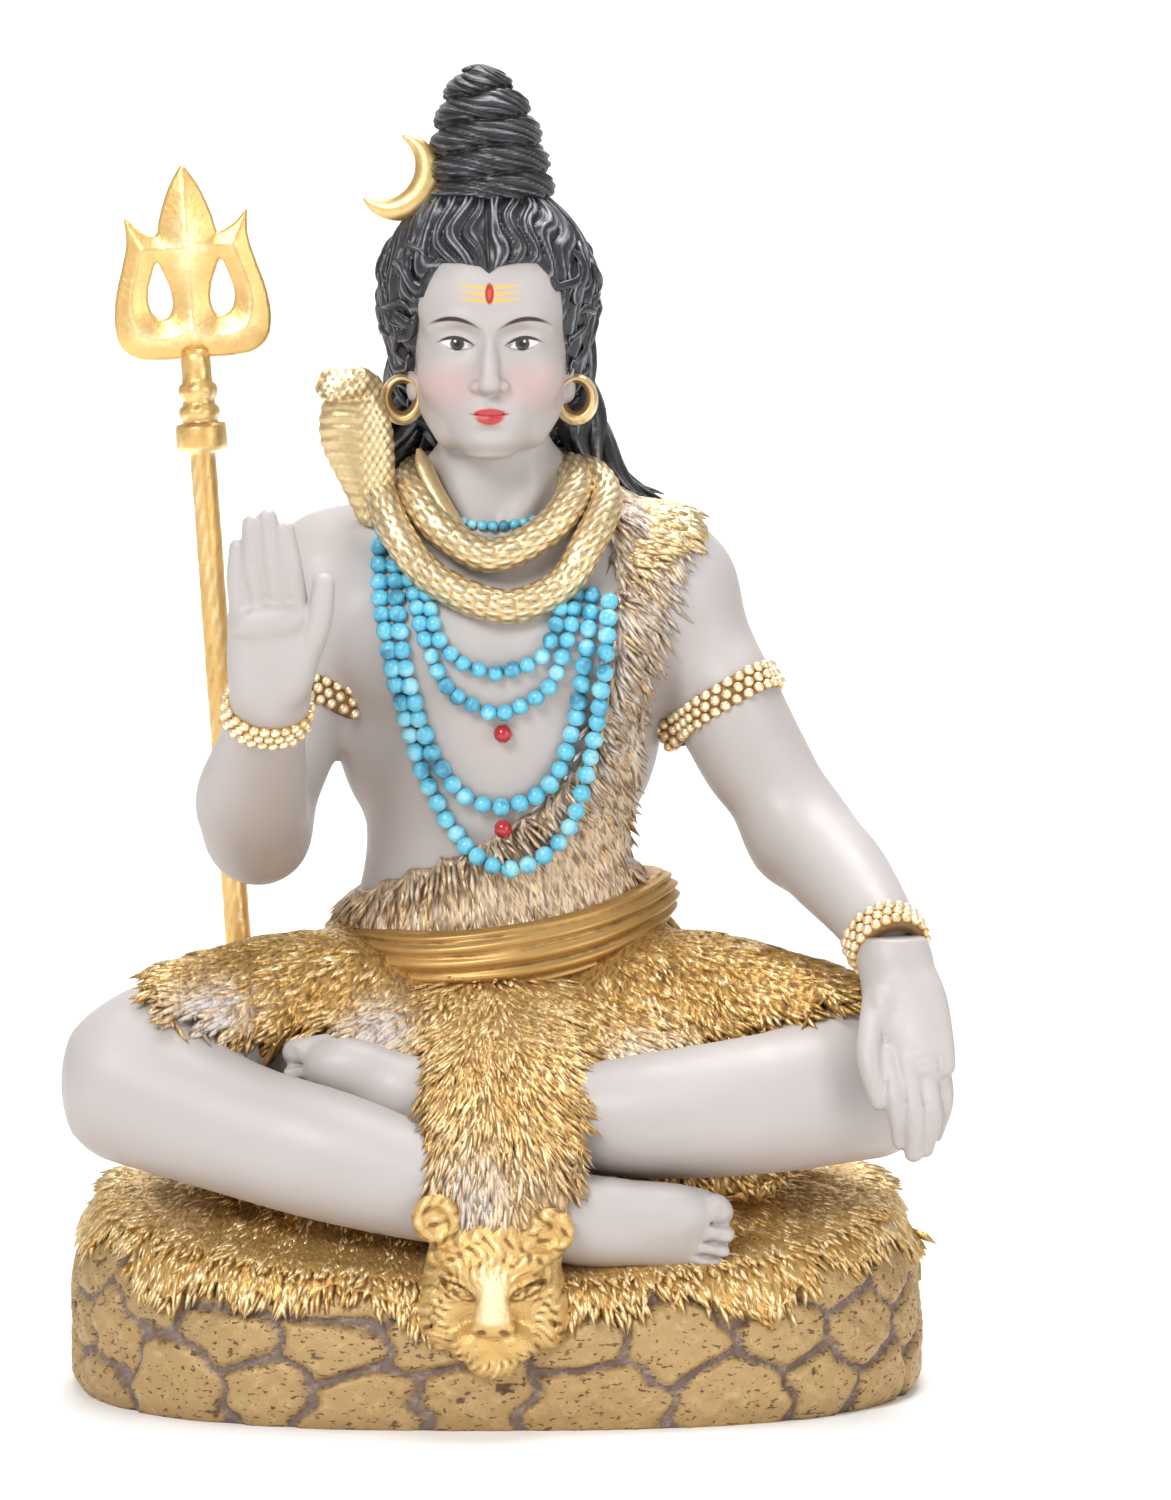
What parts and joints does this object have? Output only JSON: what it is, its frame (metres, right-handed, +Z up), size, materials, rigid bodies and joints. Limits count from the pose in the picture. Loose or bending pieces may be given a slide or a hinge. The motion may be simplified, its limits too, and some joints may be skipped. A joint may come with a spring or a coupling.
{
  "type": "seated deity figurine",
  "caption": "Painted figurine of a cross-legged ascetic god with topknot, cobra, beads and raised palm on a cobbled oval base, with a loose trident.",
  "frame": {"origin": "centre of the plinth's flat underside", "axes": "+Z up, -Y to the figure's front, +X to the figure's left"},
  "size_m": [0.193, 0.1361, 0.29],
  "materials": {
    "painted_resin": "cast resin, hand-painted, satin",
    "gold_paint": "cast resin with gold paint and a brown wash"
  },
  "bodies": {
    "root": {"figure": "painted_resin", "trident": "gold_paint"}
  },
  "joints": []
}
